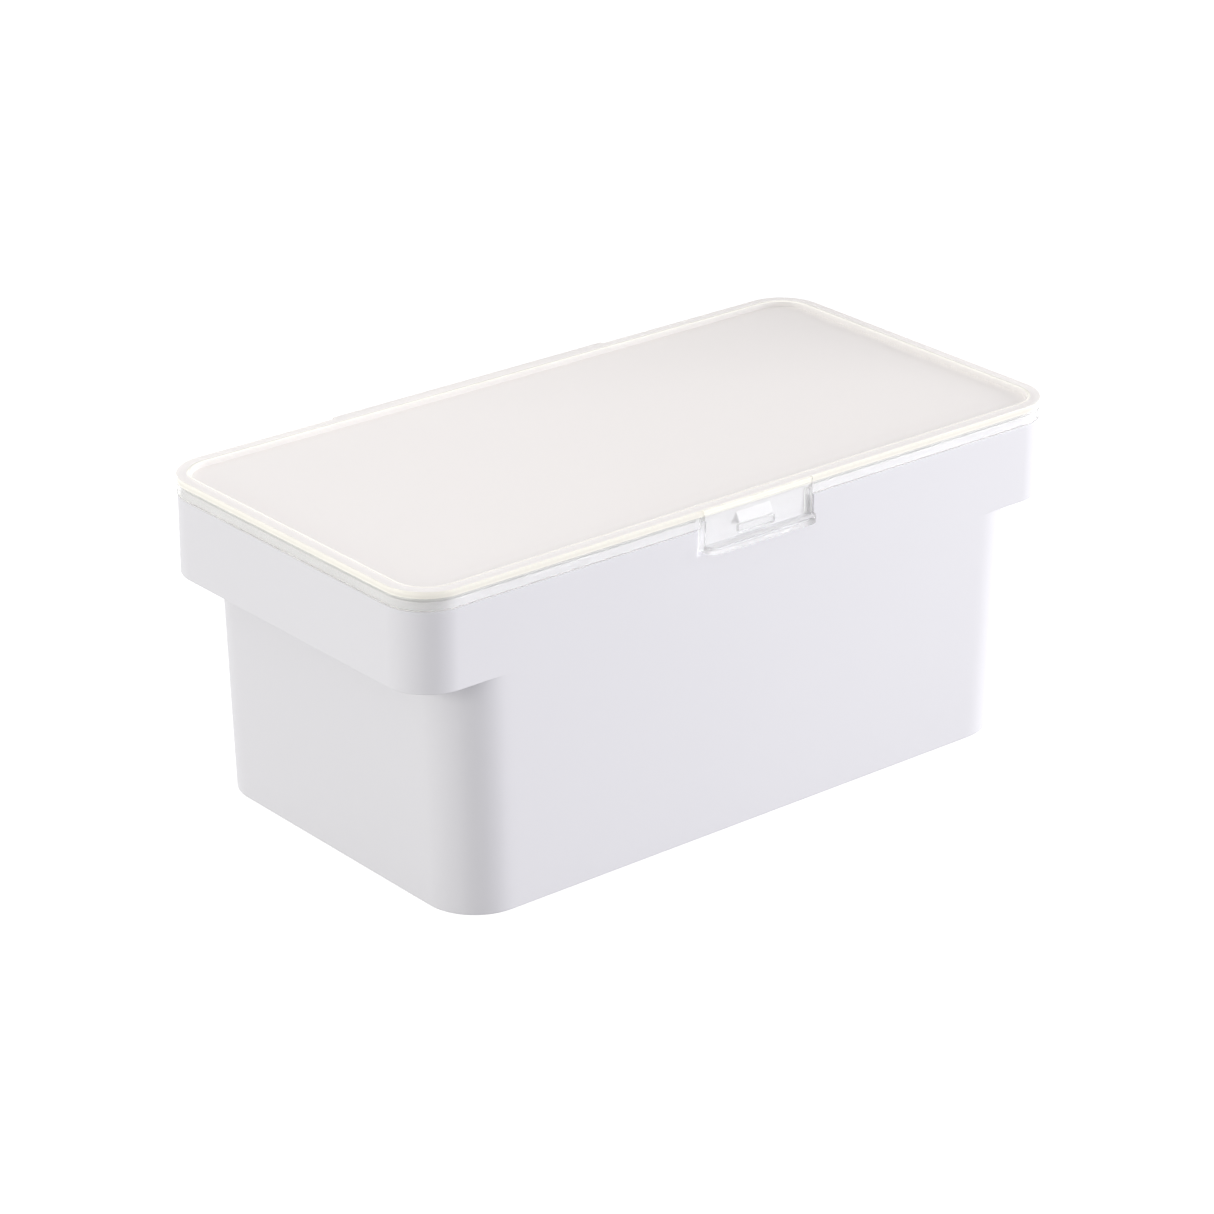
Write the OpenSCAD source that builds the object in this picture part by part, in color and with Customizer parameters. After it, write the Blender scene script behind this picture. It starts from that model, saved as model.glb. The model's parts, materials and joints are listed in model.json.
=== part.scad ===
// Stackable storage bin: a white tub with a collar at both ends, and a clear hinged lid with a latch tab.
// Lengths run along X, the latch is at -Y and the hinge at +Y. The origin is the centre of the foot.

/* [Bin] */
// Length of the collar, end to end
collar_l = 319.4; // [310:0.2:330]
// Width of the collar, front to back
collar_w = 162; // [158:0.2:166]
// Corner radius of the collar, seen from above
collar_r = 18.4; // [14:0.2:22]
// Height of the collar's underside above the table
collar_z = 97.3; // [85:0.1:105]
// Height of the shoulder that the lid's skirt stops just above
shoulder_z = 129.6; // [126:0.1:130]
// Length of the tub just under the collar
tub_top_l = 285.3; // [278:0.1:290]
// Length of the tub at its base
tub_base_l = 278.8; // [270:0.1:284]
// Width of the tub at its base
tub_base_w = 161; // [156:0.1:161.6]
// Corner radius of the tub
tub_r = 22; // [18:0.5:26]
// Thickness of the moulded walls
wall = 2.2; // [1.8:0.1:2.6]
// Radius of the edge between the tub's sides and its base
base_edge_r = 0.6; // [0.5:0.1:2]
// Height of the raised foot panel that the bin stands on
foot_h = 0.8; // [0.6:0.1:1]
// Length of that panel
foot_l = 266; // [240:1:268]
// Width of that panel
foot_w = 149; // [130:1:150]

/* [Rim] */
// How far the rim stands in from the collar's outside
rim_step = 1.8; // [1.7:0.1:2.2]
// Height of the rim's top edge
rim_z = 132.9; // [132:0.1:133]

/* [Lid] */
// Length of the lid
lid_l = 320; // [318:0.2:331]
// Width of the lid
lid_w = 162.6; // [158:0.2:167]
// Corner radius of the lid
lid_r = 18.7; // [14:0.1:22]
// Height of the lid's top edge above the table
lid_z = 137.6; // [137:0.1:138]
// Thickness of the lid's plate at its edge
plate_t = 2.7; // [2.4:0.1:2.8]
// Thickness of the skirt that hangs from the plate
skirt_t = 1.6; // [1.4:0.1:1.7]
// Gap between the skirt and the shoulder below it
skirt_gap = 0.3; // [0.2:0.1:0.5]
// Width of the border around the sunk panel
panel_border = 5.3; // [5.2:0.1:8]
// Depth of the sunk panel below the border
panel_depth = 2.4; // [2:0.1:2.4]
// Thickness of the sunk panel
panel_t = 1.8; // [1.6:0.1:1.9]
// Width of the seal ring
seal_w = 1.7; // [1.2:0.1:1.7]

/* [Latch] */
// Width of the finger tab
tab_w = 54; // [40:1:60]
// Thickness of the tab's front plate
tab_t = 1.8; // [1.4:0.1:1.8]
// How far the tab stands in front of the lid's edge
tab_proud = 1.3; // [1:0.1:2]
// Height of the tab's lower edge
tab_z = 120.5; // [120.4:0.1:122]
// How far the finger lip reaches forward of the tab
lip_d = 4.6; // [3:0.1:8]
// Thickness of the finger lip
lip_t = 3; // [1.5:0.1:3]
// Width of the hook bar and of the catch above it
catch_w = 18; // [12:1:24]
// Width of the recess in the bin's front wall
recess_w = 57; // [57:1:70]
// Depth of that recess
recess_d = 2.7; // [2.4:0.1:2.7]

/* [Hinge] */
// Place of the hinge's middle along the bin
hinge_x = -8; // [-20:1:20]
// Whole length of the hinge
hinge_l = 136; // [100:1:160]
// Length of each of the lid's two knuckles
lid_knuckle_l = 30; // [20:1:40]
// Outside radius of the knuckles
knuckle_r = 3; // [2.6:0.1:3.2]
// Radius of the hinge rod
rod_r = 1.5; // [1.2:0.05:1.7]
// How far the hinge ear stands behind the lid's edge
ear_proud = 2.4; // [2:0.1:3]

/* [Hidden] */
$fn = 96;
eps = 0.01;
hull_fn = 32;

// Bin
collar_floor_z = collar_z + wall;
collar_front_y = -collar_w / 2;
tub_top_w = collar_w - 0.2;
tub_floor_z = 2.6;
rim_top_l = collar_l - 2 * rim_step;
rim_top_w = collar_w - 2 * rim_step;
foot_r = 15;

// Lid
plate_z = lid_z - plate_t;
skirt_z = shoulder_z + skirt_gap;
seal_z = rim_z + 0.25;
seal_clear = 0.6;
panel_z = lid_z - panel_depth;
plug_inset = 4;

// Latch recess in the bin's front wall, and the tab in front of it
recess_floor_y = collar_front_y + recess_d;
recess_z = tab_z - 0.9;
tab_front_y = -lid_w / 2 - tab_proud;
tab_back_y = tab_front_y + tab_t;
tab_root_t = 1.15;
tab_seam = 0.1;
rib_t = 1.8;
rib_back_y = recess_floor_y - 0.4;
rib_top_z = rim_z - 0.3;
lip_r = 4.2;
skirt_notch_w = tab_w + 1.4;
bar_z = tab_z + 3.2;
bar_h = 3.1;
bar_back_y = recess_floor_y - 0.7;
catch_z = bar_z + bar_h + 0.4;
catch_h = 4.3;
catch_nose_y = recess_floor_y - 1.8;

// Hinge
hinge_y = lid_w / 2 + 3.3;
hinge_z = 125;
knuckle_gap = 0.6;
knuckle_clear = 0.06;
lid_knuckle_x = hinge_l / 2 - lid_knuckle_l;
body_knuckle_l = 2 * (lid_knuckle_x - knuckle_gap);
rod_l = hinge_l - 4;
bin_colour = [0.93, 0.93, 0.95];
clear_colour = [0.93, 0.95, 0.93, 0.45];

// A rectangle with round corners, centred on the origin
module round_rect(length, width, radius) {
    square([length - 2 * radius, width], center = true);
    square([length, width - 2 * radius], center = true);
    for (x = [-1, 1], y = [-1, 1])
        translate([x * (length / 2 - radius), y * (width / 2 - radius)])
            circle(radius);
}

// A straight-sided block with round corners, from height low to height high
module slab(length, width, radius, low, high) {
    translate([0, 0, low])
        linear_extrude(high - low)
            round_rect(length, width, radius);
}

// A slice of that block, thin enough to be one ring of a tapered shape
module ring_at(length, width, radius, z) {
    slab(length, width, radius, z, z + eps, $fn = hull_fn);
}

// A profile in the YZ plane, drawn along X and centred there
module along_x(length) {
    rotate([90, 0, 90])
        linear_extrude(length, center = true)
            children();
}

// A box given by its width in X and its ranges in Y and Z
module box_x(width, low_y, high_y, low_z, high_z) {
    translate([-width / 2, low_y, low_z])
        cube([width, high_y - low_y, high_z - low_z]);
}

// A rod along X, centred on x
module rod_x(length, radius, x = 0) {
    translate([hinge_x + x, hinge_y, hinge_z])
        rotate([0, 90, 0])
            cylinder(h = length, r = radius, center = true);
}

// The tapered tub's outside, with a rounded edge around its base
module tub_outside() {
    hull() {
        ring_at(tub_base_l - 2 * base_edge_r, tub_base_w - 2 * base_edge_r, tub_r - base_edge_r, foot_h);
        ring_at(
            tub_base_l - 0.6 * base_edge_r,
            tub_base_w - 0.6 * base_edge_r,
            tub_r - 0.3 * base_edge_r,
            foot_h + 0.3 * base_edge_r
        );
        ring_at(tub_base_l, tub_base_w, tub_r, foot_h + base_edge_r);
        ring_at(tub_top_l, tub_top_w, tub_r, collar_z + 1);
    }
}

// The space inside the tub, up through the collar's floor
module tub_inside() {
    hull() {
        ring_at(tub_base_l - 2 * wall - 3, tub_base_w - 2 * wall - 3, tub_r - wall - 1.5, tub_floor_z);
        ring_at(tub_base_l - 2 * wall, tub_base_w - 2 * wall, tub_r - wall, tub_floor_z + 2);
        ring_at(tub_top_l - 2 * wall, tub_top_w - 2 * wall, tub_r - wall, collar_floor_z + 0.5);
    }
}

// The collar and the rim above it, solid
module collar_outside() {
    slab(collar_l, collar_w, collar_r, collar_z, shoulder_z);
    slab(rim_top_l, rim_top_w, collar_r - rim_step, shoulder_z - eps, rim_z);
}

// The space inside the collar and the rim
module collar_inside() {
    slab(collar_l - 2 * wall, collar_w - 2 * wall, collar_r - wall, collar_floor_z, shoulder_z - wall);
    slab(
        rim_top_l - 2 * wall,
        rim_top_w - 2 * wall,
        collar_r - rim_step - wall,
        shoulder_z - wall - eps,
        rim_z + 1
    );
}

// The panel that the bin stands on, which drops into the sunk panel of the lid below it
module foot() {
    slab(foot_l, foot_w, foot_r, 0, foot_h + 1);
}

// The wall that goes around the latch recess, before the recess is cut
module recess_wall() {
    back_y = recess_floor_y + wall;
    box_x(recess_w + 2 * wall, collar_front_y + 0.5, back_y, recess_z - wall, shoulder_z - 0.5);
    box_x(recess_w + 2 * wall, recess_floor_y - 0.5, back_y, shoulder_z - 1, rim_z);
}

// The catch wedge on the recess floor: a flat underside for the hook bar, and a ramp above it
module catch_wedge() {
    along_x(catch_w - 1)
        polygon([
            [recess_floor_y + 0.5, catch_z],
            [catch_nose_y, catch_z],
            [catch_nose_y, catch_z + 0.8],
            [recess_floor_y + 0.5, catch_z + catch_h]
        ]);
}

// The bin's middle knuckle with its shelf and ribs
module body_knuckle() {
    rib_w = 2.4;
    rib_count = 5;
    rib_step = (body_knuckle_l - rib_w) / (rib_count - 1);
    wall_y = collar_w / 2 - 0.5;
    rod_x(body_knuckle_l, knuckle_r);
    translate([hinge_x, 0, 0])
        box_x(body_knuckle_l, wall_y, hinge_y, hinge_z - 1.1, hinge_z + 1.1);
    for (i = [0 : rib_count - 1])
        translate([hinge_x - body_knuckle_l / 2 + rib_w / 2 + i * rib_step, 0, 0])
            along_x(rib_w)
                polygon([
                    [wall_y, hinge_z - 9],
                    [hinge_y, hinge_z - 2.5],
                    [hinge_y, hinge_z],
                    [wall_y, hinge_z]
                ]);
}

module bin_body() {
    color(bin_colour)
    difference() {
        union() {
            difference() {
                union() {
                    tub_outside();
                    collar_outside();
                    foot();
                }
                tub_inside();
                collar_inside();
            }
            recess_wall();
            body_knuckle();
        }
        box_x(recess_w, collar_front_y - 1, recess_floor_y, recess_z, rim_z + 1);
        rod_x(hinge_l, rod_r);
    }
    color(bin_colour) catch_wedge();
}

// A block that follows the lid's outline at an even distance inside it
module inset_slab(inset, low, high) {
    slab(lid_l - 2 * inset, lid_w - 2 * inset, lid_r - inset, low, high);
}

// The lid's border and skirt, with the notch for the tab, and the panel sunk into a plug inside the seal
module lid_shell() {
    difference() {
        union() {
            difference() {
                inset_slab(0, skirt_z, lid_z);
                inset_slab(skirt_t, skirt_z - 1, plate_z);
                box_x(skirt_notch_w, -lid_w, -lid_w / 2 + skirt_t + 0.5, skirt_z - 1, plate_z);
            }
            inset_slab(plug_inset, panel_z - panel_t, plate_z + eps);
        }
        inset_slab(panel_border, panel_z, lid_z + 1);
    }
}

// The strip behind the lid's back edge, and the two arms that reach down to the knuckles
module lid_hinge_arms() {
    lid_back_y = lid_w / 2;
    ear_y = lid_back_y + ear_proud;
    ear_low_z = plate_z - 1.7;
    translate([hinge_x, 0, 0])
        box_x(hinge_l, lid_back_y - 1, ear_y, ear_low_z, lid_z - 0.4);
    for (side = [-1, 1])
        translate([hinge_x + side * (hinge_l - lid_knuckle_l) / 2, 0, 0])
            along_x(lid_knuckle_l)
                polygon([
                    [lid_back_y - 0.1, plate_z],
                    [ear_y, plate_z],
                    [ear_y + 0.9, skirt_z],
                    [hinge_y + 0.4, hinge_z + 2.5],
                    [hinge_y - 2, hinge_z + 2],
                    [lid_back_y + 0.4, skirt_z]
                ]);
    for (side = [-1, 1])
        rod_x(lid_knuckle_l, knuckle_r, side * (hinge_l - lid_knuckle_l) / 2);
}

module lid() {
    color(clear_colour)
    difference() {
        union() {
            lid_shell();
            lid_hinge_arms();
        }
        rod_x(hinge_l + 2, rod_r + knuckle_clear);
    }
}

module lid_seal() {
    outer_l = rim_top_l - 2 * seal_clear + 1;
    outer_w = rim_top_w - 2 * seal_clear + 1;
    outer_r = collar_r - rim_step - seal_clear + 0.5;
    color([0.9, 0.9, 0.9])
    difference() {
        slab(outer_l, outer_w, outer_r, seal_z, plate_z);
        slab(outer_l - 2 * seal_w, outer_w - 2 * seal_w, outer_r - seal_w, seal_z - 1, plate_z + 1);
    }
}

// The finger lip: a shelf with round front corners
module finger_lip() {
    front_y = tab_front_y - lip_d;
    translate([0, 0, tab_z])
        linear_extrude(lip_t) {
            translate([-tab_w / 2, front_y + lip_r])
                square([tab_w, tab_back_y - front_y - lip_r]);
            translate([-tab_w / 2 + lip_r, front_y])
                square([tab_w - 2 * lip_r, lip_r + 1]);
            for (side = [-1, 1])
                translate([side * (tab_w / 2 - lip_r), front_y + lip_r])
                    circle(lip_r);
        }
}

module latch_tab() {
    color(clear_colour)
    union() {
        box_x(tab_w, tab_front_y, tab_back_y, tab_z, plate_z - tab_seam);
        box_x(tab_w, tab_front_y, tab_front_y + tab_root_t, plate_z - 1, lid_z);
        for (side = [-1, 1])
            translate([side * (tab_w - rib_t) / 2, 0, 0])
                box_x(rib_t, tab_back_y - eps, rib_back_y, tab_z, rib_top_z);
        box_x(catch_w, tab_back_y - eps, bar_back_y, bar_z, bar_z + bar_h);
        finger_lip();
    }
}

module hinge_rod() {
    color([0.75, 0.76, 0.78])
    rod_x(rod_l, rod_r);
}

bin_body();
lid();
lid_seal();
latch_tab();
hinge_rod();
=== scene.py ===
import json
import math

import bmesh
import bpy
from mathutils import Matrix, Quaternion, Vector


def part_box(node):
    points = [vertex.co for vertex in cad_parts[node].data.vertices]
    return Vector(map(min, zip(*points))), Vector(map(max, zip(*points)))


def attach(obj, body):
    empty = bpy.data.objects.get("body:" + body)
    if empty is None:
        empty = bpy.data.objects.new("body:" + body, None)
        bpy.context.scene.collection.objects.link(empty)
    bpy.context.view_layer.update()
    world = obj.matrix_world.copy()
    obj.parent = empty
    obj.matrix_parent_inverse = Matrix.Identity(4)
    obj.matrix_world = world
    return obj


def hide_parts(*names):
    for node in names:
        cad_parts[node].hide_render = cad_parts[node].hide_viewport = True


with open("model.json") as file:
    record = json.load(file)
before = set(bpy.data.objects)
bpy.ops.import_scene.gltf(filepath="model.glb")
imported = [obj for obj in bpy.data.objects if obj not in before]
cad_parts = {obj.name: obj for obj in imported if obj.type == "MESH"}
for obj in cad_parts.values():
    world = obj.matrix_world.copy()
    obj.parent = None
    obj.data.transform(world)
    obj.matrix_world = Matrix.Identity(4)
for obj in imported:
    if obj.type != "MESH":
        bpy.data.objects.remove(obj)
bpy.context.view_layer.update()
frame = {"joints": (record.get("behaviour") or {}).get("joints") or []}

# ---------------------------------------------------------------- sizes, in metres
MM = 0.001
body_low, body_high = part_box("bin_body")
lid_low, lid_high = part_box("lid")
tab_low, tab_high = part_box("latch_tab")
seal_low, seal_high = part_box("lid_seal")
rod_low, rod_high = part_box("hinge_rod")
joints = {joint["name"]: joint for joint in frame["joints"]}
hinge_x, hinge_y, hinge_z = joints["lid_hinge"]["pos_m"]

# Bin
WALL = 2.2 * MM
COLLAR_L = body_high.x - body_low.x
COLLAR_W = -2 * body_low.y
COLLAR_R = 18.4 * MM
COLLAR_Z = 97.3 * MM
SHOULDER_Z = 129.6 * MM
RIM_STEP = 1.8 * MM
RIM_Z = body_high.z
TUB_TOP_L = 285.3 * MM
TUB_BASE_L = 278.8 * MM
TUB_BASE_W = 161.0 * MM
TUB_R = 22.0 * MM
BASE_EDGE_R = 0.6 * MM
FOOT_H = 0.8 * MM
FOOT_L = 266.0 * MM
FOOT_W = 149.0 * MM
FOOT_R = 15.0 * MM
TUB_FLOOR_Z = 2.6 * MM

# Lid
LID_L = lid_high.x - lid_low.x
LID_W = -2 * lid_low.y
LID_R = 18.7 * MM
LID_Z = lid_high.z
PLATE_Z = seal_high.z
SKIRT_Z = SHOULDER_Z + 0.3 * MM
SKIRT_T = 1.6 * MM
PANEL_BORDER = 5.3 * MM
LINE_W = 1.3 * MM
PANEL_DEPTH = 2.4 * MM
PANEL_Z = LID_Z - PANEL_DEPTH
PANEL_T = 1.8 * MM
PLUG_INSET = 4.0 * MM

# Latch
TAB_W = tab_high.x - tab_low.x
TAB_Z = tab_low.z
TAB_FRONT_Y = lid_low.y - 1.3 * MM
TAB_BACK_Y = TAB_FRONT_Y + 1.8 * MM
TAB_ROOT_T = 1.15 * MM
RIB_T = 1.8 * MM
RIB_BACK_Y = tab_high.y
RIB_TOP_Z = RIM_Z - 0.3 * MM
LIP_FRONT_Y = tab_low.y
LIP_T = 3.0 * MM
LIP_R = 4.2 * MM
NOTCH_HALF = TAB_W / 2 + 0.7 * MM
RECESS_HALF = 28.5 * MM
RECESS_FLOOR_Y = -COLLAR_W / 2 + 2.7 * MM
RECESS_Z = TAB_Z - 0.9 * MM
BAR_W = 18.0 * MM
BAR_Z = TAB_Z + 3.2 * MM
BAR_H = 3.1 * MM
BAR_BACK_Y = RECESS_FLOOR_Y - 0.7 * MM
CATCH_Z = BAR_Z + BAR_H + 0.4 * MM
CATCH_H = 4.3 * MM
CATCH_NOSE_Y = RECESS_FLOOR_Y - 1.8 * MM

# Hinge
ROD_R = (rod_high.z - rod_low.z) / 2
KNUCKLE_R = 3.0 * MM
HINGE_L = 136.0 * MM
LID_KNUCKLE_L = 30.0 * MM
KNUCKLE_GAP = 0.6 * MM
BODY_KNUCKLE_L = HINGE_L - 2 * LID_KNUCKLE_L - 2 * KNUCKLE_GAP
EAR_PROUD = 2.4 * MM

# How finely the outlines are divided: steps in a corner, and points beside it on each straight side
CORNER_STEPS = 28
STATION_GAP = 3 * MM
STATION_COUNT = 12
TINY = 1e-7
WELD = 2e-6


# ---------------------------------------------------------------- outlines and lofts
def outline(length, width, radius, stations=()):
    """The points of a rectangle with round corners, with extra points on the long sides at the given x."""
    half_l, half_w = length / 2 - radius, width / 2 - radius
    gaps = [k * STATION_GAP for k in range(1, STATION_COUNT + 1)]
    near_corner = [half_l - gap for gap in gaps]
    along_x = sorted({round(s * x, 7) for x in (*near_corner, *stations) for s in (-1, 1)})
    along_x = [x for x in along_x if abs(x) < half_l - 0.2 * MM]
    along_y = sorted({round(s * (half_w - gap), 7) for gap in gaps for s in (-1, 1)})
    points = []

    def corner(centre_x, centre_y, start):
        for k in range(CORNER_STEPS + 1):
            angle = math.radians(start + 90 * k / CORNER_STEPS)
            points.append(Vector((centre_x + radius * math.cos(angle), centre_y + radius * math.sin(angle))))

    corner(half_l, -half_w, 270)
    points.extend(Vector((length / 2, y)) for y in along_y)
    corner(half_l, half_w, 0)
    points.extend(Vector((x, width / 2)) for x in reversed(along_x))
    corner(-half_l, half_w, 90)
    points.extend(Vector((-length / 2, y)) for y in reversed(along_y))
    corner(-half_l, -half_w, 180)
    points.extend(Vector((x, -width / 2)) for x in along_x)
    return points


def onto(points, length, width, radius):
    """The points moved straight onto another rectangle with round corners."""
    half_l, half_w = length / 2 - radius, width / 2 - radius
    moved = []
    for p in points:
        core = Vector((max(-half_l, min(half_l, p.x)), max(-half_w, min(half_w, p.y))))
        away = p - core
        moved.append(core + away.normalized() * radius if away.length > TINY else p.copy())
    return moved


def at(points, z):
    return [Vector((p.x, p.y, z)) for p in points]


def inset_ring(base, size, inset, z):
    """A ring at height z that lies inset from the outline with that (length, width, radius)."""
    length, width, radius = size
    return at(onto(base, length - 2 * inset, width - 2 * inset, radius - inset), z)


def quarter(steps=5):
    """Angles of a quarter turn, in radians."""
    return [math.pi / 2 * k / steps for k in range(steps + 1)]


def new_object(name, bm, smooth=True):
    bmesh.ops.remove_doubles(bm, verts=bm.verts, dist=WELD)
    bmesh.ops.dissolve_degenerate(bm, edges=bm.edges, dist=WELD / 2)
    bmesh.ops.recalc_face_normals(bm, faces=bm.faces)
    mesh = bpy.data.meshes.new(name)
    bm.to_mesh(mesh)
    bm.free()
    if smooth:
        mesh.shade_smooth()
    piece = bpy.data.objects.new(name, mesh)
    bpy.context.scene.collection.objects.link(piece)
    return piece


def loft(name, rings, closed_section=False):
    """A closed solid through the rings. Its ends are capped, or its last ring joins its first."""
    bm = bmesh.new()
    rows = [[bm.verts.new(p) for p in ring] for ring in rings]
    count = len(rows[0])
    pairs = list(zip(rows, rows[1:]))
    if closed_section:
        pairs.append((rows[-1], rows[0]))
    for low, high in pairs:
        for k in range(count):
            following = (k + 1) % count
            bm.faces.new((low[k], low[following], high[following], high[k]))
    if not closed_section:
        bm.faces.new(list(reversed(rows[0])))
        bm.faces.new(rows[-1])
    return new_object(name, bm)


def prism_x(name, profile, half_length, centre_x=0.0):
    """A closed outline of (y, z) points, drawn along X."""
    bm = bmesh.new()
    ends = [
        [bm.verts.new((centre_x + s * half_length, y, z)) for y, z in profile]
        for s in (-1, 1)
    ]
    count = len(profile)
    for k in range(count):
        following = (k + 1) % count
        bm.faces.new((ends[0][k], ends[0][following], ends[1][following], ends[1][k]))
    bm.faces.new(list(reversed(ends[0])))
    bm.faces.new(ends[1])
    return new_object(name, bm, smooth=False)


def block(name, low, high):
    profile = [(low[1], low[2]), (high[1], low[2]), (high[1], high[2]), (low[1], high[2])]
    return prism_x(name, profile, (high[0] - low[0]) / 2, (high[0] + low[0]) / 2)


def turned_x(name, centre_x, half_length, radius, edge, segments=48):
    """A cylinder along the hinge line, with rounded ends."""
    stations = [(-half_length, radius - edge)]
    stations += [
        (-half_length + edge * (1 - math.cos(a)), radius - edge + edge * math.sin(a))
        for a in quarter(4)[1:]
    ]
    stations += [(-x, r) for x, r in reversed(stations)]
    rings = []
    turns = [2 * math.pi * k / segments for k in range(segments)]
    for x, r in stations:
        rings.append([
            Vector((centre_x + x, hinge_y + r * math.cos(a), hinge_z + r * math.sin(a)))
            for a in turns
        ])
    return loft(name, rings)


# ---------------------------------------------------------------- joining and finishing
def apply_modifiers(piece):
    graph = bpy.context.evaluated_depsgraph_get()
    mesh = bpy.data.meshes.new_from_object(piece.evaluated_get(graph))
    old = piece.data
    piece.modifiers.clear()
    piece.data = mesh
    bpy.data.meshes.remove(old)


def combine(piece, others, operation):
    """Adds the others to the piece, or cuts them out of it, and removes them."""
    for other in others:
        step = piece.modifiers.new("join", "BOOLEAN")
        step.operation = operation
        step.solver = "MANIFOLD"
        step.object = other
        apply_modifiers(piece)
        bpy.data.objects.remove(other)


def bevel(piece, width, angle=35, segments=3):
    step = piece.modifiers.new("edges", "BEVEL")
    step.width = width
    step.segments = segments
    step.limit_method = "ANGLE"
    step.angle_limit = math.radians(angle)
    step.use_clamp_overlap = True
    step.harden_normals = False
    apply_modifiers(piece)


def shade(piece, sharp_angle=40):
    """Smooth shading that keeps large flat faces flat."""
    mesh = piece.data
    mesh.shade_smooth()
    mesh.set_sharp_from_angle(angle=math.radians(sharp_angle))
    weighted = piece.modifiers.new("flat faces stay flat", "WEIGHTED_NORMAL")
    weighted.keep_sharp = True
    weighted.weight = 80
    apply_modifiers(piece)


def finish_piece(piece, body, nodes):
    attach(piece, body)
    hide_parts(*nodes)


# ---------------------------------------------------------------- the bin
# How the recess's rounded edge falls from the front wall to its floor, as pairs of
# distance outside its edge and share of its depth
RECESS_EDGE = (
    (0.7 * MM, 0.0),
    (0.45 * MM, 0.02),
    (0.25 * MM, 0.07),
    (0.1 * MM, 0.17),
    (0.03 * MM, 0.3),
    (-0.08 * MM, 0.75),
    (-0.16 * MM, 0.88),
    (-0.3 * MM, 0.97),
    (-0.5 * MM, 1.0),
)


def recess_share(outside):
    """Share of the recess's depth at a place that far outside its edge."""
    if outside >= RECESS_EDGE[0][0]:
        return 0.0
    for (far, low), (near, high) in zip(RECESS_EDGE, RECESS_EDGE[1:]):
        if outside >= near:
            return low + (high - low) * (far - outside) / (far - near)
    return 1.0


def press_in(ring, half, low_z, floor_y):
    """The ring with its front pressed in to floor_y inside the recess."""
    for p in ring:
        if p.y < floor_y:
            share = min(recess_share(abs(p.x) - half), recess_share(low_z - p.z))
            p.y += share * (floor_y - p.y)
    return ring


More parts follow.
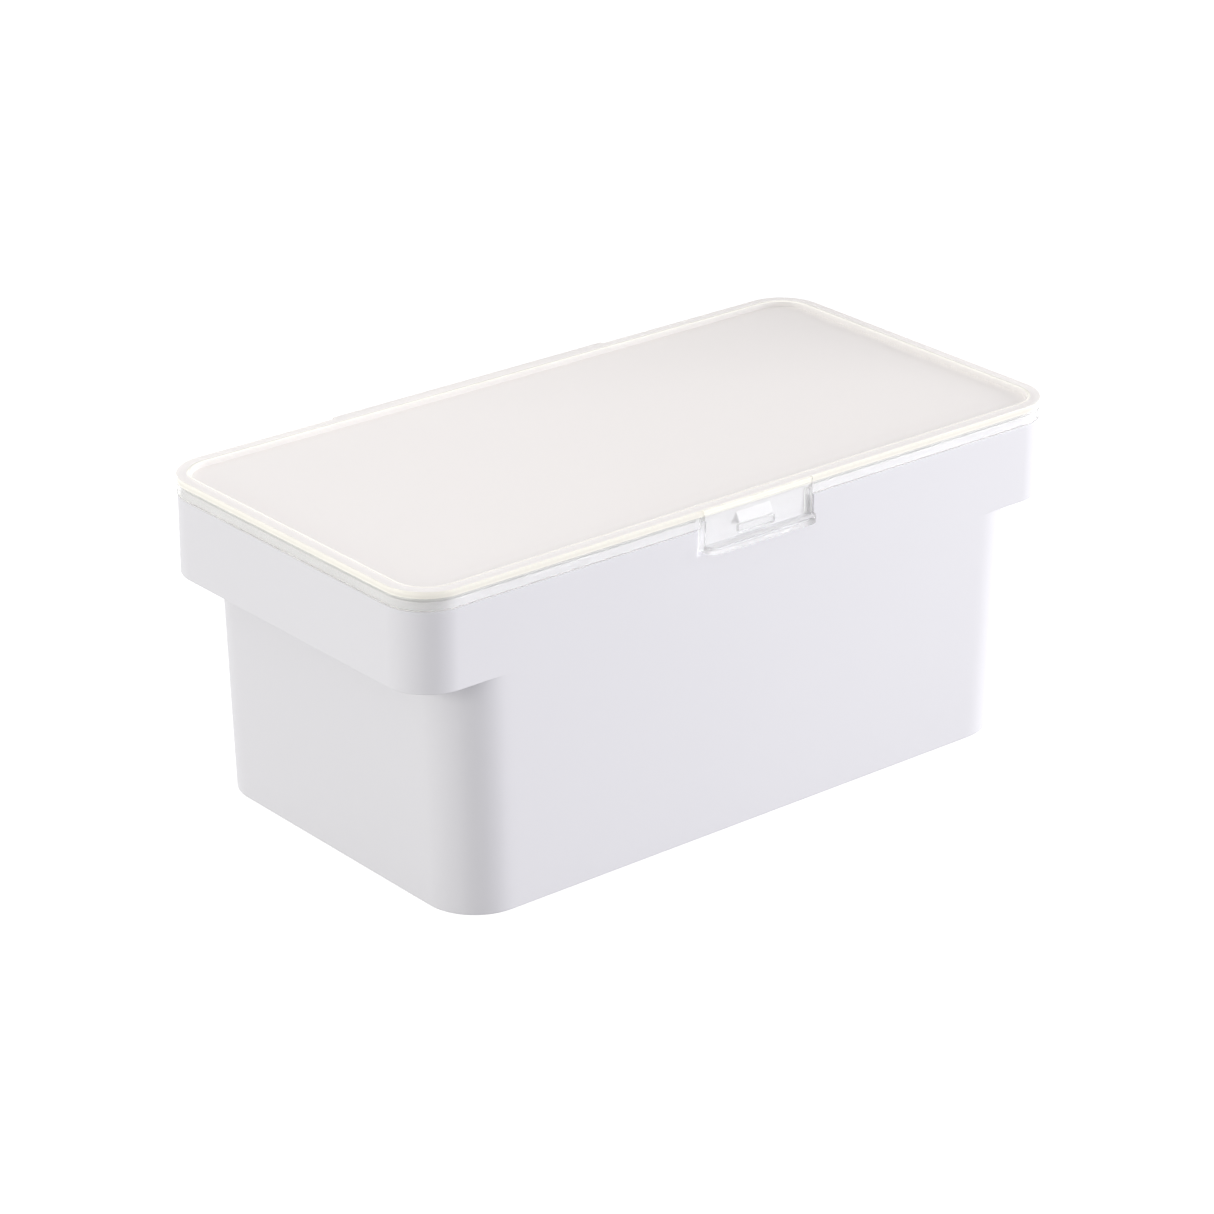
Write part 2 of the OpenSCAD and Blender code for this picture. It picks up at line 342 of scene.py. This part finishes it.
def bin_shell():
    wall_half = RECESS_HALF + WALL
    stations = [half + gap for half in (RECESS_HALF, wall_half) for gap, _ in RECESS_EDGE]
    base = outline(COLLAR_L, COLLAR_W, COLLAR_R, stations)
    collar = (COLLAR_L, COLLAR_W, COLLAR_R)
    rim = (COLLAR_L - 2 * RIM_STEP, COLLAR_W - 2 * RIM_STEP, COLLAR_R - RIM_STEP)
    foot = (FOOT_L, FOOT_W, FOOT_R)
    tub_base = (TUB_BASE_L, TUB_BASE_W, TUB_R)
    tub_top = (TUB_TOP_L, COLLAR_W, TUB_R)

    def tub_at(z, inset=0.0):
        share = (z - FOOT_H) / (COLLAR_Z - FOOT_H)
        size = tuple(a + (b - a) * share for a, b in zip(tub_base, tub_top))
        return inset_ring(base, size, inset, z)

    outer = []
    edge = 0.4 * MM
    outer.append(inset_ring(base, foot, 8 * MM, 0))
    outer += [inset_ring(base, foot, edge * (1 - math.sin(a)), edge * (1 - math.cos(a))) for a in quarter(3)]
    outer.append(inset_ring(base, foot, 0, FOOT_H))
    outer += [
        tub_at(FOOT_H + BASE_EDGE_R * (1 - math.cos(a)), BASE_EDGE_R * (1 - math.sin(a)))
        for a in quarter(8)
    ]
    outer += [tub_at(z * MM) for z in (6, 12, 25, 40, 55, 70, 82, 90, 95)]

    # The collar's underside: a hollow curve off the tub, a ledge, and a rounded lower edge.
    # Both curves shrink towards the front and back, where the tub meets the collar.
    tub_edge = [Vector((p.x, p.y)) for p in tub_at(COLLAR_Z)]
    collar_edge = onto(base, *collar)
    hollow_r, round_r = 0.4 * MM, 0.4 * MM
    for start, height, turn in (
        (tub_edge, -hollow_r, lambda a: (1 - math.cos(a), 1 - math.sin(a))),
        (collar_edge, round_r, lambda a: (math.sin(a) - 1, 1 - math.cos(a))),
    ):
        for a in quarter(6):
            out, up = turn(a)
            ring = []
            for p, inner_point, outer_point in zip(start, tub_edge, collar_edge):
                across = outer_point - inner_point
                reach = min(abs(height), 0.35 * across.length)
                direction = across.normalized() if across.length > TINY else Vector((0, 0))
                q = p + direction * reach * out
                ring.append(Vector((q.x, q.y, COLLAR_Z + height * up)))
            outer.append(ring)

    outer += [inset_ring(base, collar, 0, z * MM) for z in (102, 108, 112, 116)]
    outer += [inset_ring(base, collar, 0, RECESS_Z - gap) for gap, _ in RECESS_EDGE]
    shoulder_r = 0.4 * MM
    outer.append(inset_ring(base, collar, 0, 124 * MM))
    outer += [
        inset_ring(
            base,
            collar,
            shoulder_r * (1 - math.cos(a)),
            SHOULDER_Z - shoulder_r * (1 - math.sin(a)),
        )
        for a in quarter(5)
    ]
    outer.append(inset_ring(base, rim, 0, SHOULDER_Z))
    rim_r = 0.5 * MM
    outer += [
        inset_ring(base, rim, rim_r * (1 - math.cos(a)), RIM_Z - rim_r * (1 - math.sin(a)))
        for a in quarter(4)
    ]
    for ring in outer:
        press_in(ring, RECESS_HALF, RECESS_Z, RECESS_FLOOR_Y)

    inner = [
        inset_ring(base, rim, WALL - rim_r * (1 - math.cos(a)), RIM_Z - rim_r * (1 - math.sin(a)))
        for a in reversed(quarter(4))
    ]
    step_z = SHOULDER_Z - WALL
    inner += [
        inset_ring(base, rim, WALL, step_z + 0.6 * MM),
        inset_ring(base, rim, WALL - 0.3 * MM, step_z + 0.1 * MM),
        inset_ring(base, collar, WALL + 0.5 * MM, step_z),
        inset_ring(base, collar, WALL + 0.1 * MM, step_z - 0.3 * MM),
        inset_ring(base, collar, WALL, step_z - 1 * MM),
        inset_ring(base, collar, WALL, 122 * MM),
    ]
    inner += [inset_ring(base, collar, WALL, RECESS_Z - WALL - gap) for gap, _ in reversed(RECESS_EDGE)]
    floor_r = 2 * MM
    floor_z = COLLAR_Z + WALL
    inner += [
        inset_ring(base, collar, WALL + floor_r * (1 - math.cos(a)), floor_z + floor_r * (1 - math.sin(a)))
        for a in quarter(4)
    ]
    drop_r = 1.2 * MM
    inner += [
        [
            Vector((p.x, p.y, floor_z - drop_r * (1 - math.cos(a))))
            for p in inset_ring(base, tub_top, WALL - drop_r * (1 - math.sin(a)), 0)
        ]
        for a in quarter(4)
    ]
    inner += [tub_at(z * MM, WALL) for z in (90, 70, 50, 30, 15)]
    well_r = 5 * MM
    inner += [
        [
            Vector((p.x, p.y, TUB_FLOOR_Z + well_r * (1 - math.sin(a))))
            for p in tub_at(FOOT_H + 4 * MM, WALL + well_r * (1 - math.cos(a)))
        ]
        for a in quarter(6)
    ]
    inner.append(at(onto(base, TUB_BASE_L - 40 * MM, TUB_BASE_W - 40 * MM, 12 * MM), TUB_FLOOR_Z))
    for ring in inner:
        press_in(ring, wall_half, RECESS_Z - WALL, RECESS_FLOOR_Y + WALL)
    return loft("bin_shell", outer + inner)


def bin_hinge():
    """The middle knuckle with its shelf and ribs."""
    wall_y = COLLAR_W / 2 - 0.8 * MM
    shelf_t = 1.1 * MM
    half = BODY_KNUCKLE_L / 2
    rib_half, rib_count = 1.2 * MM, 5
    parts = [
        turned_x("knuckle", hinge_x, half, KNUCKLE_R, 0.4 * MM),
        block(
            "shelf",
            (hinge_x - half + 0.3 * MM, wall_y, hinge_z - shelf_t),
            (hinge_x + half - 0.3 * MM, hinge_y, hinge_z + shelf_t),
        ),
    ]
    rib_profile = [
        (wall_y, hinge_z - 9 * MM),
        (wall_y + 1.2 * MM, hinge_z - 9 * MM),
        (hinge_y + 0.4 * MM, hinge_z - 2.4 * MM),
        (hinge_y, hinge_z),
        (wall_y, hinge_z),
    ]
    for k in range(rib_count):
        x = hinge_x - half + rib_half + 0.15 * MM + k * (2 * half - 2 * rib_half - 0.3 * MM) / (rib_count - 1)
        parts.append(prism_x(f"rib_{k}", rib_profile, rib_half, x))
    return parts


def catch_wedge():
    profile = [
        (RECESS_FLOOR_Y + 0.6 * MM, CATCH_Z),
        (CATCH_NOSE_Y, CATCH_Z),
        (CATCH_NOSE_Y, CATCH_Z + 0.8 * MM),
        (RECESS_FLOOR_Y, CATCH_Z + CATCH_H),
        (RECESS_FLOOR_Y + 0.6 * MM, CATCH_Z + CATCH_H),
    ]
    wedge = prism_x("catch", profile, BAR_W / 2 - 0.5 * MM)
    bevel(wedge, 0.2 * MM, segments=2)
    return wedge


def make_bin(material):
    piece = bin_shell()
    combine(piece, [catch_wedge(), *bin_hinge()], "UNION")
    bore = turned_x("bore", hinge_x, HINGE_L / 2, ROD_R, 0.1 * MM)
    combine(piece, [bore], "DIFFERENCE")
    piece.name = "bin_moulding"
    piece.data.materials.clear()
    piece.data.materials.append(material)
    shade(piece)
    finish_piece(piece, "bin", ["bin_body"])


# ---------------------------------------------------------------- the lid
def lid_shell():
    corner_r = 1.6 * MM
    stations = [NOTCH_HALF + corner_r * (1 - math.cos(a)) for a in quarter(6)]
    stations += [NOTCH_HALF + 0.02 * MM, NOTCH_HALF - 0.02 * MM, NOTCH_HALF - 3 * MM]
    base = outline(LID_L, LID_W, LID_R, stations)
    size = (LID_L, LID_W, LID_R)
    edge_r, line_r = 0.3 * MM, 0.5 * MM
    draft = 0.15 * MM
    centre_inset = 16 * MM
    rings = [inset_ring(base, size, centre_inset, PANEL_Z)]
    rings.append(inset_ring(base, size, PANEL_BORDER + 4 * MM, PANEL_Z))
    rings += [
        inset_ring(
            base,
            size,
            PANEL_BORDER + draft + edge_r * (1 - math.sin(a)),
            PANEL_Z + edge_r * (1 - math.cos(a)),
        )
        for a in quarter(5)
    ]
    rings += [
        inset_ring(base, size, PANEL_BORDER - line_r * (1 - math.cos(a)), LID_Z - line_r * (1 - math.sin(a)))
        for a in quarter(3)
    ]
    rings.append(inset_ring(base, size, PANEL_BORDER - LINE_W, LID_Z))
    rings.append(inset_ring(base, size, PANEL_BORDER / 2, LID_Z))
    rings += [
        inset_ring(base, size, edge_r * (1 - math.sin(a)), LID_Z - edge_r * (1 - math.cos(a)))
        for a in quarter(4)
    ]
    rings.append(inset_ring(base, size, 0, PLATE_Z))
    rings.append(inset_ring(base, size, 0, (PLATE_Z + SKIRT_Z) / 2))
    bottom = [
        (edge_r * (1 - math.cos(a)), SKIRT_Z + edge_r * (1 - math.sin(a))) for a in quarter(4)
    ]
    bottom += [(SKIRT_T - inset, z) for inset, z in reversed(bottom)]
    rings += [inset_ring(base, size, inset, z) for inset, z in bottom]
    rings.append(inset_ring(base, size, SKIRT_T, (PLATE_Z + SKIRT_Z) / 2))
    rings += [
        inset_ring(base, size, SKIRT_T + edge_r * (1 - math.cos(a)), PLATE_Z - edge_r * (1 - math.sin(a)))
        for a in quarter(3)
    ]
    rings.append(inset_ring(base, size, PLUG_INSET, PLATE_Z))
    rings += [
        inset_ring(
            base,
            size,
            PLUG_INSET + edge_r * (1 - math.cos(a)),
            PANEL_Z - PANEL_T + edge_r * (1 - math.sin(a)),
        )
        for a in quarter(3)
    ]
    rings.append(inset_ring(base, size, centre_inset, PANEL_Z - PANEL_T))

    # The skirt stops either side of the tab, with round lower corners
    notch_top = PLATE_Z - 0.1 * MM
    for ring in rings:
        for p in ring:
            outside = abs(p.x) - NOTCH_HALF
            if p.y < -LID_W / 2 + SKIRT_T + 1 * MM and outside < corner_r:
                lift = notch_top
                if outside > 0:
                    lift = SKIRT_Z + corner_r - math.sqrt(corner_r**2 - (corner_r - outside) ** 2)
                p.z = max(p.z, min(lift, notch_top))
    return loft("lid_shell", rings)


def lid_hinge():
    back_y = LID_W / 2
    ear_y = back_y + EAR_PROUD
    ear = block(
        "ear",
        (hinge_x - HINGE_L / 2, back_y - 0.7 * MM, PLATE_Z - 1.7 * MM),
        (hinge_x + HINGE_L / 2, ear_y, LID_Z - 0.4 * MM),
    )
    bevel(ear, 0.35 * MM)
    parts = [ear]
    arm_profile = [
        (back_y - 0.3 * MM, PLATE_Z - 0.3 * MM),
        (ear_y - 0.1 * MM, PLATE_Z - 0.3 * MM),
        (ear_y + 0.9 * MM, SKIRT_Z),
        (hinge_y + 0.4 * MM, hinge_z + 2.2 * MM),
        (hinge_y - 2 * MM, hinge_z + 1.6 * MM),
        (back_y + 0.4 * MM, SKIRT_Z),
        (back_y - 0.3 * MM, SKIRT_Z + 1.5 * MM),
    ]
    for side in (-1, 1):
        x = hinge_x + side * (HINGE_L - LID_KNUCKLE_L) / 2
        arm = prism_x("arm", arm_profile, LID_KNUCKLE_L / 2 - 0.3 * MM, x)
        bevel(arm, 0.25 * MM, segments=2)
        parts += [arm, turned_x("knuckle", x, LID_KNUCKLE_L / 2, KNUCKLE_R, 0.4 * MM)]
    return parts


def depth_inside(point, length, width, radius):
    """How far inside the outline of a rectangle with round corners the point lies."""
    half_l, half_w = length / 2 - radius, width / 2 - radius
    out_x, out_y = max(abs(point.x) - half_l, -radius), max(abs(point.y) - half_w, -radius)
    if out_x > 0 and out_y > 0:
        return radius - math.hypot(out_x, out_y)
    return radius - max(out_x, out_y)


# Places of the lid's materials in its list; the third is the edge material with a painted glow
CLEAR, FROSTED, PAINTED_GLOW, BORDER = range(4)


def make_lid(clear, frosted, painted_glow, border):
    piece = lid_shell()
    combine(piece, lid_hinge(), "UNION")
    bore = turned_x("bore", hinge_x, HINGE_L / 2 + 1 * MM, ROD_R + 0.06 * MM, 0.05 * MM)
    combine(piece, [bore], "DIFFERENCE")
    piece.name = "clear_lid"
    mesh = piece.data
    mesh.materials.clear()
    for material in (clear, frosted, painted_glow, border):
        mesh.materials.append(material)
    for face in mesh.polygons:
        centre, normal = face.center, face.normal
        inside = depth_inside(centre, LID_L, LID_W, LID_R)
        in_plate = centre.z > PLATE_Z - 0.1 * MM
        # The edge material paints a glow on the plate's outer edge faces and a painted highlight line on the
        # rounded inner top edge of the border
        outer_edge = in_plate and inside < 0.5 * MM and abs(normal.z) < 0.9
        inner_edge = PANEL_BORDER - LINE_W < inside < PANEL_BORDER and normal.z > 0.3
        if inside < -0.1 * MM:
            face.material_index = BORDER if centre.z > PLATE_Z - 2 * MM else CLEAR
        elif outer_edge or in_plate and inner_edge:
            face.material_index = PAINTED_GLOW
        elif in_plate and inside < PANEL_BORDER and normal.z > 0.9:
            face.material_index = BORDER
        elif in_plate or inside > PLUG_INSET - 0.1 * MM:
            face.material_index = FROSTED
    shade(piece)
    finish_piece(piece, "lid", ["lid"])


def make_seal(material):
    size = (seal_high.x - seal_low.x, seal_high.y - seal_low.y, COLLAR_R - RIM_STEP - 0.1 * MM)
    base = outline(*size)
    width, low, high = 1.7 * MM, seal_low.z, seal_high.z
    lip_r = 0.45 * MM
    profile = [(0.0, high)]
    for centre in (lip_r, width - lip_r):
        profile += [
            (centre - lip_r * math.cos(math.pi * k / 8), low + lip_r * (1 - math.sin(math.pi * k / 8)))
            for k in range(9)
        ]
        if centre == lip_r:
            profile.append((width / 2, low + 1.2 * lip_r))
    profile.append((width, high))
    rings = [inset_ring(base, size, inset, z) for inset, z in profile]
    piece = loft("seal_ring", rings, closed_section=True)
    piece.data.materials.append(material)
    shade(piece)
    finish_piece(piece, "lid", ["lid_seal"])


# ---------------------------------------------------------------- the latch tab
def finger_lip():
    """The lip's plan has round front corners."""
    half = TAB_W / 2
    plan = [(half, TAB_BACK_Y - 0.2 * MM)]
    for side, angles in ((1, quarter(8)), (-1, list(reversed(quarter(8))))):
        plan += [
            (side * (half - LIP_R + LIP_R * math.cos(a)), LIP_FRONT_Y + LIP_R - LIP_R * math.sin(a))
            for a in angles
        ]
    plan.append((-half, TAB_BACK_Y - 0.2 * MM))
    bm = bmesh.new()
    low = [bm.verts.new((x, y, TAB_Z)) for x, y in plan]
    high = [bm.verts.new((x, y, TAB_Z + LIP_T)) for x, y in plan]
    count = len(plan)
    for k in range(count):
        following = (k + 1) % count
        bm.faces.new((low[k], low[following], high[following], high[k]))
    bm.faces.new(low)
    bm.faces.new(list(reversed(high)))
    return new_object("lip", bm, smooth=False)


def make_tab(clear, painted_glow):
    half = TAB_W / 2
    plate_top = PLATE_Z - 0.1 * MM
    profile = [
        (TAB_FRONT_Y, TAB_Z),
        (TAB_BACK_Y, TAB_Z),
        (TAB_BACK_Y, plate_top),
        (TAB_FRONT_Y + TAB_ROOT_T, plate_top + 0.4 * MM),
        (TAB_FRONT_Y + TAB_ROOT_T, tab_high.z),
        (TAB_FRONT_Y, tab_high.z),
    ]
    piece = prism_x("tab", profile, half)
    parts = [finger_lip()]
    for side in (-1, 1):
        inner, outer = side * (half - RIB_T), side * half
        parts.append(block(
            "side_rib",
            (min(inner, outer), TAB_BACK_Y - 0.5 * MM, TAB_Z),
            (max(inner, outer), RIB_BACK_Y, RIB_TOP_Z),
        ))
    parts.append(block(
        "hook_bar",
        (-BAR_W / 2, TAB_BACK_Y - 0.5 * MM, BAR_Z),
        (BAR_W / 2, BAR_BACK_Y, BAR_Z + BAR_H),
    ))
    combine(piece, parts, "UNION")
    bevel(piece, 0.3 * MM, segments=3)
    piece.name = "finger_tab"
    mesh = piece.data
    mesh.materials.clear()
    mesh.materials.append(clear)
    mesh.materials.append(painted_glow)
    for face in mesh.polygons:
        # The tab's upright faces above the plate get the edge material, a painted glow along its top edge
        face.material_index = int(face.center.z > PLATE_Z and abs(face.normal.z) < 0.35)
    shade(piece)
    finish_piece(piece, "latch", ["latch_tab"])


def make_rod(material):
    half = (rod_high.x - rod_low.x) / 2
    piece = turned_x("rod", (rod_high.x + rod_low.x) / 2, half, ROD_R, 0.35 * MM, segments=40)
    piece.name = "steel_hinge_rod"
    piece.data.materials.append(material)
    shade(piece)
    finish_piece(piece, "bin", ["hinge_rod"])


# ---------------------------------------------------------------- materials
def new_material(name):
    material = bpy.data.materials.new(name)
    material.use_nodes = True
    tree = material.node_tree
    shader = tree.nodes["Principled BSDF"]
    return material, tree, shader


def noise(tree, scale, detail=3.0, stretch=(1, 1, 1)):
    """A noise pattern fixed to the piece, scale in cells per metre."""
    coordinates = tree.nodes.new("ShaderNodeTexCoord")
    mapping = tree.nodes.new("ShaderNodeMapping")
    mapping.inputs["Scale"].default_value = stretch
    pattern = tree.nodes.new("ShaderNodeTexNoise")
    pattern.inputs["Scale"].default_value = scale
    pattern.inputs["Detail"].default_value = detail
    tree.links.new(coordinates.outputs["Object"], mapping.inputs["Vector"])
    tree.links.new(mapping.outputs["Vector"], pattern.inputs["Vector"])
    return pattern.outputs["Fac"]


def between(tree, factor, low, high):
    """The factor, 0 to 1, mapped onto the range low to high."""
    mapped = tree.nodes.new("ShaderNodeMapRange")
    mapped.inputs["To Min"].default_value = low
    mapped.inputs["To Max"].default_value = high
    tree.links.new(factor, mapped.inputs["Value"])
    return mapped.outputs["Result"]


def colour_between(tree, factor, low, high):
    mix = tree.nodes.new("ShaderNodeMix")
    mix.data_type = "RGBA"
    mix.inputs["A"].default_value = (*low, 1)
    mix.inputs["B"].default_value = (*high, 1)
    tree.links.new(factor, mix.inputs["Factor"])
    return mix.outputs["Result"]


def add_bump(tree, shader, heights, strength, distance):
    bump = tree.nodes.new("ShaderNodeBump")
    bump.inputs["Strength"].default_value = strength
    bump.inputs["Distance"].default_value = distance
    tree.links.new(heights, bump.inputs["Height"])
    tree.links.new(bump.outputs["Normal"], shader.inputs["Normal"])


def let_lamps_through(tree, shader, tint):
    """Shadow rays pass the plastic, tinted, so that it doesn't throw the dark shadow of solid glass."""
    output = tree.nodes["Material Output"]
    path = tree.nodes.new("ShaderNodeLightPath")
    through = tree.nodes.new("ShaderNodeBsdfTransparent")
    through.inputs["Color"].default_value = (*tint, 1)
    mix = tree.nodes.new("ShaderNodeMixShader")
    tree.links.new(path.outputs["Is Shadow Ray"], mix.inputs["Fac"])
    tree.links.new(shader.outputs["BSDF"], mix.inputs[1])
    tree.links.new(through.outputs["BSDF"], mix.inputs[2])
    tree.links.new(mix.outputs["Shader"], output.inputs["Surface"])


def white_plastic():
    material, tree, shader = new_material("white satin plastic")
    cloud = noise(tree, 9, 2)
    colour = colour_between(tree, cloud, (0.785, 0.78, 0.81), (0.805, 0.80, 0.83))
    tree.links.new(colour, shader.inputs["Base Color"])
    grain = noise(tree, 2600, 3)
    tree.links.new(between(tree, grain, 0.40, 0.52), shader.inputs["Roughness"])
    add_bump(tree, shader, grain, 0.06, 0.05 * MM)
    shader.inputs["Specular IOR Level"].default_value = 0.4
    return material


def clear_plastic():
    material, tree, shader = new_material("clear plastic")
    flow = noise(tree, 60, 2, (0.4, 1, 1))
    colour = colour_between(tree, flow, (0.94, 0.942, 0.935), (0.96, 0.962, 0.955))
    tree.links.new(colour, shader.inputs["Base Color"])
    tree.links.new(between(tree, noise(tree, 500, 2), 0.03, 0.09), shader.inputs["Roughness"])
    add_bump(tree, shader, flow, 0.02, 0.05 * MM)
    shader.inputs["Transmission Weight"].default_value = 0.8
    shader.inputs["IOR"].default_value = 1.3
    let_lamps_through(tree, shader, (0.84, 0.84, 0.84))
    return material


def frosted_plastic(name, low, high):
    material, tree, shader = new_material(name)
    fine = noise(tree, 3200, 4)
    broad = noise(tree, 7, 2)
    colour = colour_between(tree, broad, low, high)
    tree.links.new(colour, shader.inputs["Base Color"])
    tree.links.new(between(tree, fine, 0.5, 0.62), shader.inputs["Roughness"])
    add_bump(tree, shader, fine, 0.1, 0.05 * MM)
    shader.inputs["Transmission Weight"].default_value = 0.15
    shader.inputs["IOR"].default_value = 1.47
    let_lamps_through(tree, shader, (0.80, 0.79, 0.77))
    return material


def painted_glow_plastic():
    """Paints a glow onto the plate's edges and thin edge lines. A warm, paler colour and a weak emission
    stand in for light caught inside the sheet coming out at its cut edge.
    """
    material, tree, shader = new_material("edge plastic with painted glow")
    flow = noise(tree, 120, 2)
    colour = colour_between(tree, flow, (0.93, 0.915, 0.84), (0.95, 0.94, 0.88))
    tree.links.new(colour, shader.inputs["Base Color"])
    tree.links.new(between(tree, noise(tree, 900, 2), 0.15, 0.25), shader.inputs["Roughness"])
    shader.inputs["Transmission Weight"].default_value = 0.3
    shader.inputs["IOR"].default_value = 1.47
    # Painted glow: a weak emission, though the edge is no lamp
    shader.inputs["Emission Color"].default_value = (1.0, 0.96, 0.84, 1)
    shader.inputs["Emission Strength"].default_value = 0.15
    return material


def seal_silicone():
    material, tree, shader = new_material("milky silicone")
    cloud = noise(tree, 200, 2)
    colour = colour_between(tree, cloud, (0.74, 0.74, 0.73), (0.80, 0.80, 0.79))
    tree.links.new(colour, shader.inputs["Base Color"])
    tree.links.new(between(tree, cloud, 0.5, 0.6), shader.inputs["Roughness"])
    add_bump(tree, shader, noise(tree, 3000, 2), 0.05, 0.05 * MM)
    return material


def rod_steel():
    material, tree, shader = new_material("drawn steel")
    drawn = noise(tree, 400, 4, (0.05, 12, 12))
    colour = colour_between(tree, drawn, (0.55, 0.56, 0.57), (0.70, 0.71, 0.72))
    tree.links.new(colour, shader.inputs["Base Color"])
    tree.links.new(between(tree, drawn, 0.25, 0.4), shader.inputs["Roughness"])
    shader.inputs["Metallic"].default_value = 1.0
    return material


# ---------------------------------------------------------------- stage, light and camera
def add_camera():
    azimuth, elevation, roll = map(math.radians, (-39.65, 23.61, 0.13))
    distance = 1.65466
    target = Vector((-0.00556, 0.0, 0.06417 + FOOT_H))
    back = Vector((
        math.sin(azimuth) * math.cos(elevation),
        -math.cos(azimuth) * math.cos(elevation),
        math.sin(elevation),
    ))
    level = Vector((0, 0, 1)).cross(back).normalized()
    right = Quaternion(back, roll) @ level
    camera = bpy.data.objects.new("camera", bpy.data.cameras.new("camera"))
    bpy.context.scene.collection.objects.link(camera)
    camera.data.sensor_width = 36
    camera.data.lens = 124.66
    camera.data.clip_start, camera.data.clip_end = 0.05, 20
    camera.location = target + back * distance
    camera.rotation_mode = "QUATERNION"
    camera.rotation_quaternion = Matrix((right, back.cross(right), back)).transposed().to_quaternion()
    bpy.context.scene.camera = camera


def add_area(name, location, size, power, colour=(1, 1, 1)):
    data = bpy.data.lights.new(name, "AREA")
    data.shape = "RECTANGLE"
    data.size, data.size_y = size
    data.energy = power
    data.color = colour
    lamp = bpy.data.objects.new(name, data)
    bpy.context.scene.collection.objects.link(lamp)
    lamp.location = location
    lamp.rotation_mode = "QUATERNION"
    aim = Vector((0, 0, 0.07)) - Vector(location)
    lamp.rotation_quaternion = aim.to_track_quat("-Z", "Y")
    lamp.visible_transmission = False


def seen_brightness(tree, for_lighting, socket):
    """Full brightness where it is seen, even through clear plastic, and less after a diffuse bounce."""
    path = tree.nodes.new("ShaderNodeLightPath")
    seen = tree.nodes.new("ShaderNodeMath")
    seen.operation = "LESS_THAN"
    seen.inputs[1].default_value = 0.5
    tree.links.new(path.outputs["Diffuse Depth"], seen.inputs[0])
    tree.links.new(between(tree, seen.outputs[0], for_lighting, 1.0), socket)


def add_stage():
    bm = bmesh.new()
    bmesh.ops.create_grid(bm, x_segments=1, y_segments=1, size=4)
    floor = new_object("floor", bm)
    material, tree, shader = new_material("pale floor")
    shader.inputs["Base Color"].default_value = (0.3, 0.3, 0.3, 1)
    shader.inputs["Roughness"].default_value = 0.9
    shader.inputs["Specular IOR Level"].default_value = 0.1
    shader.inputs["Emission Color"].default_value = (1, 1, 1, 1)
    seen_brightness(tree, 0.17, shader.inputs["Emission Strength"])
    material.cycles.emission_sampling = "NONE"
    floor.data.materials.append(material)
    floor.location.z = -0.2 * MM

    world = bpy.data.worlds.new("studio")
    bpy.context.scene.world = world
    world.use_nodes = True
    tree = world.node_tree
    background = tree.nodes["Background"]
    background.inputs["Color"].default_value = (1, 0.99, 1.03, 1)
    seen_brightness(tree, 0.60, background.inputs["Strength"])
    world.cycles.sampling_method = "NONE"


def add_flag():
    """A black board off the right end, which keeps the light there from washing the end out."""
    bm = bmesh.new()
    bmesh.ops.create_grid(bm, x_segments=1, y_segments=1, size=0.5)
    flag = new_object("flag", bm)
    material, tree, shader = new_material("black board")
    shader.inputs["Base Color"].default_value = (0.01, 0.01, 0.01, 1)
    shader.inputs["Roughness"].default_value = 1.0
    flag.data.materials.append(material)
    flag.rotation_euler.y = math.pi / 2
    flag.location = (0.5, 0.3, 0.5)
    flag.visible_camera = False
    flag.visible_glossy = False
    flag.visible_transmission = False


def set_view():
    view = bpy.context.scene.view_settings
    view.view_transform = "Standard"
    view.look = "None"
    view.exposure = 0
    view.gamma = 1


add_camera()
set_view()
add_stage()
add_flag()
add_area("left_box", (-1.97, 0.36, 0.5), (0.8, 0.8), 14.6, (1.0, 0.995, 0.93))
add_area("right_box", (1.85, -1.3, 0.63), (0.8, 0.8), 43.5, (0.99, 0.985, 1.0))
add_area("top_box", (0.3, 0.7, 1.5), (1.6, 1.2), 9.6, (1.0, 0.995, 0.99))

clear = clear_plastic()
painted_glow = painted_glow_plastic()
make_bin(white_plastic())
frosted = frosted_plastic("frosted plastic", (0.885, 0.862, 0.84), (0.90, 0.877, 0.855))
border = frosted_plastic("border plastic", (0.94, 0.915, 0.89), (0.955, 0.93, 0.905))
make_lid(clear, frosted, painted_glow, border)
make_seal(seal_silicone())
make_tab(clear, painted_glow)
make_rod(rod_steel())
